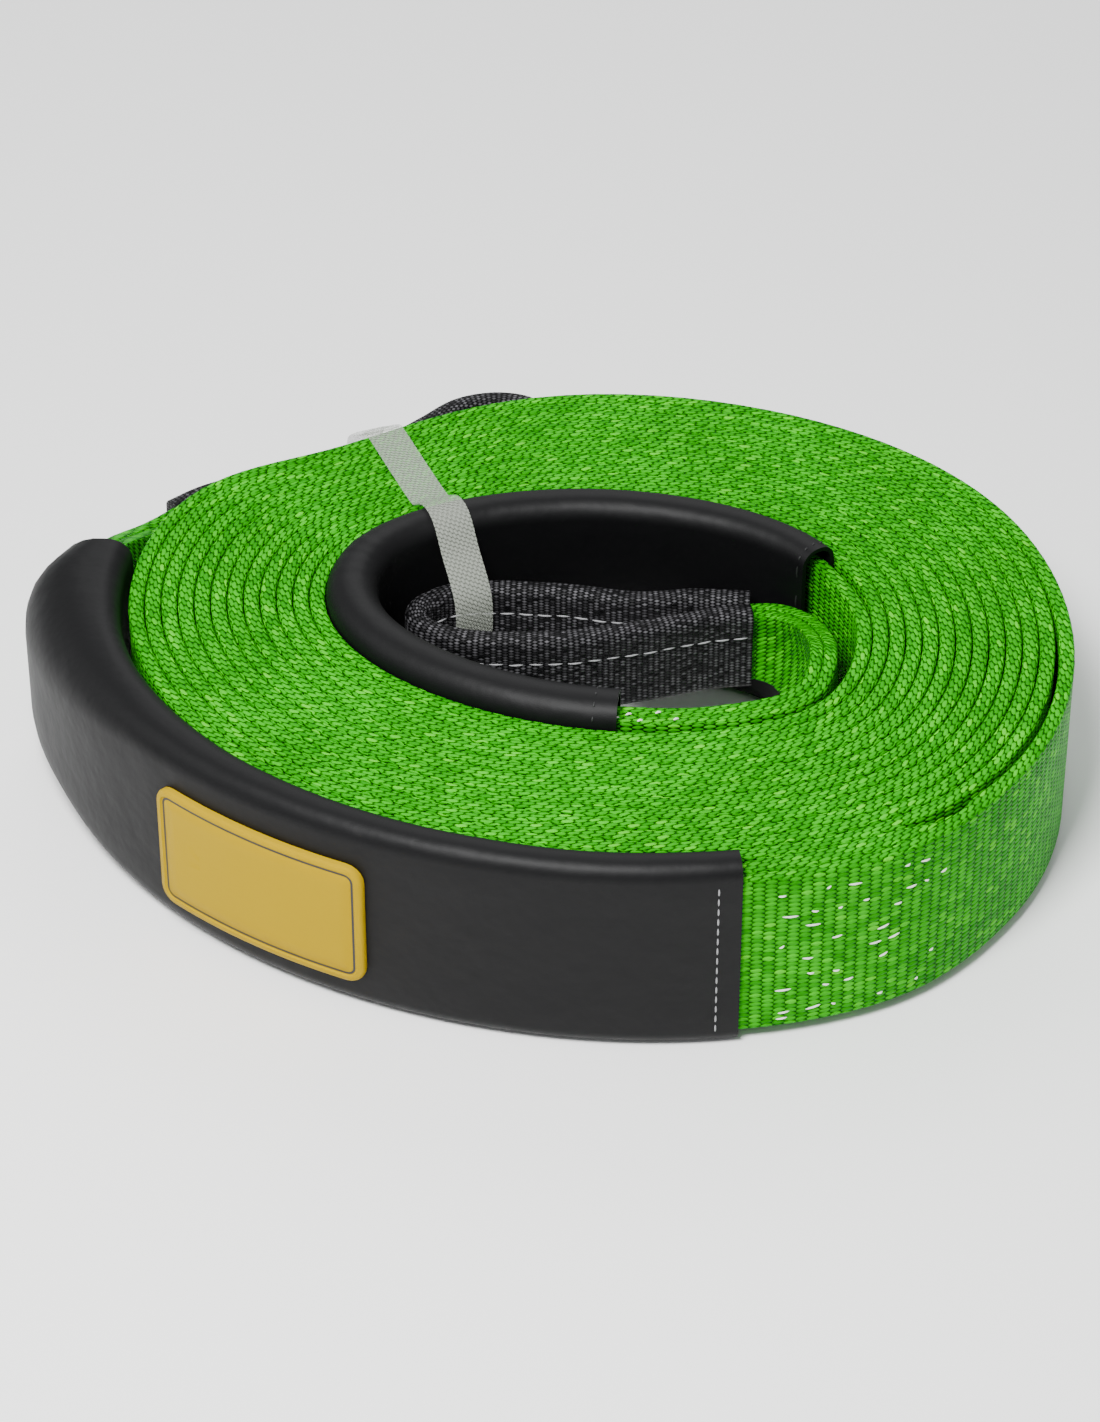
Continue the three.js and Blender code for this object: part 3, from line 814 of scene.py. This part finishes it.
for i in range(loop_count):
    j = (i + 1) % loop_count
    for k in range(ring):
        a, b = order[k], order[(k + 1) % ring]
        tie_faces.append([i * ring + a, i * ring + b, j * ring + b, j * ring + a])
        v0 = (a % TIE_ACROSS) * TIE_WIDE / (TIE_ACROSS - 1) / 1000
        v1 = (b % TIE_ACROSS) * TIE_WIDE / (TIE_ACROSS - 1) / 1000
        u0, u1 = i * step_along, (i + 1) * step_along
        tie_uvs += [(u0, v0), (u0, v1), (u1, v1), (u1, v0)]
tie_mesh = bpy.data.meshes.new("tie_tape_woven")
tie_mesh.from_pydata(tie_vertices, [], tie_faces)
tie_mesh.uv_layers.new(name="UVMap").data.foreach_set("uv", [c for uv in tie_uvs for c in uv])
tie_mesh.shade_smooth()
tie = bpy.data.objects.new("tie_tape_woven", tie_mesh)
bpy.context.collection.objects.link(tie)
tie.data.materials.append(tie_material)
face_out(tie)
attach(tie, "root")
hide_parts("tie_tape")

# Badge: a yellow rubber plate, moulded with a raised rim and a black line round its field.
# It is sewn to the outer sleeve and follows its curve; the field is left plain.
BADGE_LONG = 78
BADGE_TALL = 46
BADGE_THICK = 2.6
BADGE_CORNER = 6
BADGE_AT = 245.5
BADGE_MIDDLE = 34
BADGE_LINE = (2.9, 3.7)
BADGE_ARC = 5
BADGE_SIDES = (6, 14, 6, 14)

# Moulded rubber: an even satin yellow with a faint grain, and a black line let into it
rubber_material, tree, shader = start_material("moulded_yellow_rubber")
rubber_grain = add_node(tree, "ShaderNodeTexNoise", {
    "Vector": add_node(tree, "ShaderNodeTexCoord").outputs["Object"], "Scale": 900.0,
})
rubber_bump = add_node(tree, "ShaderNodeBump", {
    "Height": rubber_grain.outputs["Fac"], "Strength": 0.15, "Distance": 0.0002,
})
tree.links.new(rubber_bump.outputs["Normal"], shader.inputs["Normal"])
shader.inputs["Base Color"].default_value = linear("#9E8200")
shader.inputs["Roughness"].default_value = 0.45
shader.inputs["Specular IOR Level"].default_value = 0.08
shader.inputs["Specular Tint"].default_value = linear("#FFD040")
line_material, tree, shader = start_material("black_rubber_inlay")
shader.inputs["Base Color"].default_value = linear("#15130B")
shader.inputs["Roughness"].default_value = 0.5

badge_wind = wind_at(BADGE_AT, FULL_TURNS + 1)


def on_sleeve(along, up, rise):
    """Point on the outer sleeve, along mm from the badge's middle towards its right end."""
    wind = badge_wind
    left = along
    step = -0.5 if along > 0 else 0.5
    here = flat(180 - wind, outer_face(wind))
    while True:
        after = flat(180 - wind - step, outer_face(wind + step))
        reach = (after - here).length
        if reach >= abs(left):
            part = abs(left) / reach
            wind += step * part
            break
        left -= math.copysign(reach, along)
        wind += step
        here = after
    outward = Vector(on_arc(0, 0, 1, 180 - wind))
    return in_metres(flat(180 - wind, outer_face(wind)) + outward * rise, up)


def badge_ring(inset):
    """Rounded outline of the badge, moved in by inset."""
    r = max(BADGE_CORNER - inset, 0.4)
    x = BADGE_LONG / 2 - inset - r
    y = BADGE_TALL / 2 - inset - r
    return rounded_outline(
        [(x, -y, r, -90), (x, y, r, 0), (-x, y, r, 90), (-x, -y, r, 180)], BADGE_ARC, BADGE_SIDES
    )


# Rings of the badge from its back to its field, each (in from the edge, off the sleeve) in mm.
# They follow the sleeve's curve, which no primitive does.
badge_levels = [
    (0, 0.1), (0, 1.4), (0.4, 2.2), (1.0, BADGE_THICK), (2.3, BADGE_THICK), (2.6, 2.1),
    (BADGE_LINE[0], 2.1), (BADGE_LINE[1], 2.1), (4.0, 2.3), (8, 2.3), (13, 2.3), (18, 2.3),
]
badge_vertices = []
for inset, rise in badge_levels:
    badge_vertices += [on_sleeve(x, BADGE_MIDDLE + y, rise) for x, y in badge_ring(inset)]
badge_count = len(badge_ring(0))
badge_faces = [list(reversed(range(badge_count)))]
badge_inks = [0]
for level in range(len(badge_levels) - 1):
    inked = badge_levels[level][0] == BADGE_LINE[0]
    for k in range(badge_count):
        n = (k + 1) % badge_count
        a = level * badge_count
        badge_faces.append([a + k, a + n, a + badge_count + n, a + badge_count + k])
        badge_inks.append(1 if inked else 0)
# The innermost ring is closed by strips across it, from the middle of its right side
centre_ring = (len(badge_levels) - 1) * badge_count
right_middle = BADGE_ARC + BADGE_SIDES[0] // 2
for k in range(badge_count // 2):
    pair = [right_middle + k, right_middle + k + 1, right_middle - k - 1, right_middle - k]
    ring_places = list(dict.fromkeys(i % badge_count for i in pair))
    badge_faces.append([centre_ring + i for i in ring_places])
    badge_inks.append(0)
badge_mesh = bpy.data.meshes.new("badge_plate")
badge_mesh.from_pydata(badge_vertices, [], badge_faces)
badge = bpy.data.objects.new("badge_plate", badge_mesh)
bpy.context.collection.objects.link(badge)
badge.data.materials.append(rubber_material)
badge.data.materials.append(line_material)
badge_mesh.polygons.foreach_set("material_index", badge_inks)
badge_mesh.shade_smooth()
face_out(badge)
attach(badge, "root")
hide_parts("rubber_badge")

# Stitching: short loops of heavy thread. White thread holds the doubled ends, and grey
# thread runs round each sleeve's end and along the seams of the eyes.
random.seed(7)


def thread_material(name, code):
    """Polyester thread, twisted: matt, with fine slanting ridges."""
    material, tree, shader = start_material(name)
    twist = add_node(tree, "ShaderNodeTexWave", {
        "Vector": add_node(tree, "ShaderNodeTexCoord").outputs["Object"], "Scale": 900.0,
    }, bands_direction="DIAGONAL")
    bump = add_node(tree, "ShaderNodeBump", {
        "Height": twist.outputs["Fac"], "Strength": 0.5, "Distance": 0.0001,
    })
    tree.links.new(bump.outputs["Normal"], shader.inputs["Normal"])
    shader.inputs["Base Color"].default_value = linear(code)
    shader.inputs["Roughness"].default_value = 0.6
    return material


def stitch_piece(name, stitches, material, thick=0.45):
    """One mesh of many stitches; each is (start, end, outward) in metres."""
    vertices = []
    faces = []
    for start, end, outward in stitches:
        run = end - start
        side = run.cross(outward).normalized() * thick / 1000
        up = outward.normalized() * thick / 1000
        base = len(vertices)
        for part, size in ((0, 0.35), (0.18, 0.9), (0.5, 1.1), (0.82, 0.9), (1, 0.35)):
            sink = up * (0.8 * math.sin(math.pi * part) - 0.2)
            for c, s in ((1, 0), (0.5, 0.87), (-0.5, 0.87), (-1, 0), (-0.5, -0.87), (0.5, -0.87)):
                vertices.append(start + run * part + sink + side * c * size + up * s * size)
        for i in range(4):
            for k in range(6):
                n = (k + 1) % 6
                a = base + i * 6
                faces.append([a + k, a + n, a + 6 + n, a + 6 + k])
        faces.append([base + k for k in reversed(range(6))])
        faces.append([base + 24 + k for k in range(6)])
    mesh = bpy.data.meshes.new(name)
    mesh.from_pydata(vertices, [], faces)
    mesh.shade_smooth()
    piece = bpy.data.objects.new(name, mesh)
    bpy.context.collection.objects.link(piece)
    piece.data.materials.append(material)
    face_out(piece)
    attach(piece, "root")
    return piece


def wound_point(wind, off, z):
    """Point in metres at a wound angle, off outside the bore line, with its outward normal."""
    outward = Vector(on_arc(0, 0, 1, 180 - wind))
    return in_metres(plan(180 - wind, 0) + outward * off, z), outward.to_3d()


white_thread = thread_material("white_polyester_thread", "#E4E8DC")
grey_thread = thread_material("grey_polyester_thread", "#8E8E90")
dark_thread = thread_material("dark_polyester_thread", "#131314")

# White stitches on the outer doubled end: two long rows and looser ones between them. Each
# row has its height in mm, the degrees between stitches and the share of them that shows.
white_rows = []
for row, spacing, chance in (
    (57.5, 2.6, 0.35), (49, 3.1, 0.5), (44, 2.8, 0.25), (36, 2.9, 0.35), (31, 2.7, 0.3),
    (24, 3.0, 0.4), (19, 2.6, 0.45), (9.5, 3.0, 0.6), (6.5, 2.8, 0.2),
):
    wind = OUTER_SLEEVE[0] - 1
    while wind > RISE_END - 9:
        wind -= spacing
        if random.random() > chance:
            continue
        length = random.choice((0.5, 0.8, 1.2, 1.7))
        slant = random.uniform(-0.6, 1.0)
        jump = random.uniform(-0.8, 0.8)
        z = row + jump
        after = wind - length
        a, out = wound_point(wind, wound_offset(wind, web_faces(wind)[0]) - 0.05, z)
        b, _ = wound_point(after, wound_offset(wind, web_faces(after)[0]) - 0.05, z + slant)
        white_rows.append((a, b, out))
stitch_piece("white_stitches_outer_end", white_rows, white_thread, 0.32)

# White stitches on the upper edge of the tail, where it comes out of the inner sleeve
edge_stitches = []
for i, inward in ((70, 1.5), (73, -1.8), (76, 2.6), (78, -0.4), (80, 1.8), (82, -2.4), (84, 0.6)):
    (p, out), (q, _) = tail_places[i], tail_places[i + 1]
    a = in_metres(p + out * inward, web_top - 0.05)
    b = in_metres(q + out * (inward + 0.8), web_top - 0.05)
    edge_stitches.append((a, b, Vector((0, 0, 1))))
stitch_piece("white_stitches_inner_tail", edge_stitches, white_thread, 0.35)

# Grey stitches along both hems of the outer sleeve, on its outer side
outer_hems = []
for wind in (OUTER_SLEEVE[0] + 2.2, OUTER_SLEEVE[1] - 3):
    z = outer_round(wind) + 0.5
    while z < SLEEVE_TALL - outer_round(wind) - 2.6:
        a, out = wound_point(wind, outer_face(wind) + 0.05, z)
        b, _ = wound_point(wind, outer_face(wind) + 0.05, z + 2.6)
        outer_hems.append((a, b, out))
        z += 3.9
stitch_piece("grey_stitches_outer_sleeve", outer_hems, grey_thread, 0.28)

# Dark stitches along both hems of the inner sleeve, over its roll
inner_hems = []
for wind in (INNER_SLEEVE[0] + 3.2, INNER_SLEEVE[1] - 3.6):
    low = inner_sleeve_face(wind) - inner_sleeve_thick(wind)
    high = wound_offset(wind, inner_sleeve_face(wind))
    r = inner_round(wind)
    roll = rounded_section(low, high, 0, SLEEVE_TALL, r, r, 10, 5)
    for (d0, z0), (d1, z1) in zip(roll[::2], roll[1::2]):
        if min(z0, z1) < 4 or math.hypot(d1 - d0, z1 - z0) < 0.5:
            continue
        a, _ = wound_point(wind, d0, z0)
        b, _ = wound_point(wind, d1, z1)
        centre, _ = wound_point(wind, (low + high) / 2, min(z0, SLEEVE_TALL - r))
        inner_hems.append((a, a + (b - a) * 0.8, (a - centre).normalized()))
stitch_piece("dark_stitches_inner_sleeve", inner_hems, dark_thread, 0.3)


def leg_stitches(places, side):
    """Grey stitches along the seam of an eye, on one side of its leg."""
    made = []
    z = EYE_FOOT + EYE_TALL - SEAM_DROP
    for i in range(1, len(places) - 3, 4):
        (p, out), (q, _) = places[i], places[i + 3]
        outward = out * side
        ends = [
            in_metres(place + outward * (EYE_LEG / 2 - 0.75), z + random.uniform(-0.3, 0.3))
            for place in (p, q)
        ]
        made.append((*ends, outward.to_3d()))
    return made


seams = leg_stitches(inner_eye_places, 1) + leg_stitches(inner_eye_places, -1)
seams += leg_stitches(outer_eye_places, 1) + leg_stitches(outer_eye_places, -1)
stitch_piece("grey_stitches_eyes", seams, grey_thread, 0.3)

# Floor: a plain pale board, painted matt, that the strap stands on. It is wide enough to
# fill every view, and it lies 0.3 mm low so that no face of the strap shares its plane.
bpy.ops.object.select_all(action="DESELECT")
bpy.ops.mesh.primitive_plane_add(size=8, location=(0, 0, -0.0003))
bpy.ops.object.transform_apply(location=True, rotation=False, scale=False)
floor = bpy.context.object
floor.name = "floor"
floor_material, tree, shader = start_material("pale_matt_board")
shader.inputs["Base Color"].default_value = linear("#F4F4F3")
shader.inputs["Roughness"].default_value = 0.9
floor.data.materials.append(floor_material)


# Light: a soft lamp above and in front, as in a product studio, a fill at the left and one
# behind, all turned to the middle of the strap, under an even pale sky.
def soft_lamp(name, place, size, watts):
    """Square lamp that shines at the strap from a place in metres."""
    data = bpy.data.lights.new(name, "AREA")
    data.size = size
    data.energy = watts
    lamp = bpy.data.objects.new(name, data)
    lamp.location = place
    lamp.rotation_mode = "QUATERNION"
    lamp.rotation_quaternion = (Vector((0, 0, 0.03)) - Vector(place)).to_track_quat("-Z", "Y")
    bpy.context.collection.objects.link(lamp)


soft_lamp("key_lamp", (-0.1, -0.62, 1.05), 0.35, 30)
soft_lamp("fill_lamp", (-1.3, -0.2, 1.0), 1.0, 8)
soft_lamp("back_lamp", (-0.2, 1.3, 1.2), 1.0, 10)
world = bpy.data.worlds.new("pale_sky")
world.use_nodes = True
world.node_tree.nodes["Background"].inputs["Color"].default_value = linear("#F2F4F6")
world.node_tree.nodes["Background"].inputs["Strength"].default_value = 0.62
bpy.context.scene.world = world
